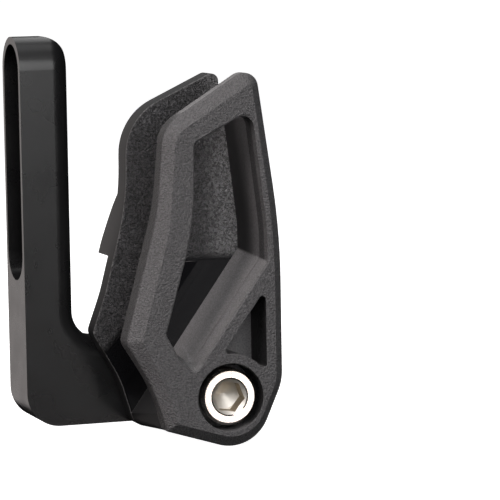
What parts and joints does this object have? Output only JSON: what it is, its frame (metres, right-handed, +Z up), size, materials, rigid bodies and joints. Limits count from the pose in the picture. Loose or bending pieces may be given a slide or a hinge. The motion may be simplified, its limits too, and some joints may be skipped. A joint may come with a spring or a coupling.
{
  "type": "bicycle chain guide",
  "caption": "Chain guide with a slotted L-shaped bracket and a moulded cage of two plates that the chain runs between, held to the bracket's foot by a socket-head bolt.",
  "frame": {"origin": "centre of the arm's slot, on the flat side face that lies on the bicycle frame's tab", "axes": "+X from the arm to the cage, -Y away from the bicycle, +Z up along the arm"},
  "size_m": [0.0413, 0.0318, 0.0715],
  "materials": {
    "anodised_aluminium": "satin black anodised",
    "moulded_nylon": "fine moulded grain",
    "nickel_plate": "bright nickel plate"
  },
  "bodies": {
    "root": {"bracket": "anodised_aluminium", "guide_cage": "moulded_nylon", "cage_bolt": "nickel_plate"}
  },
  "joints": []
}
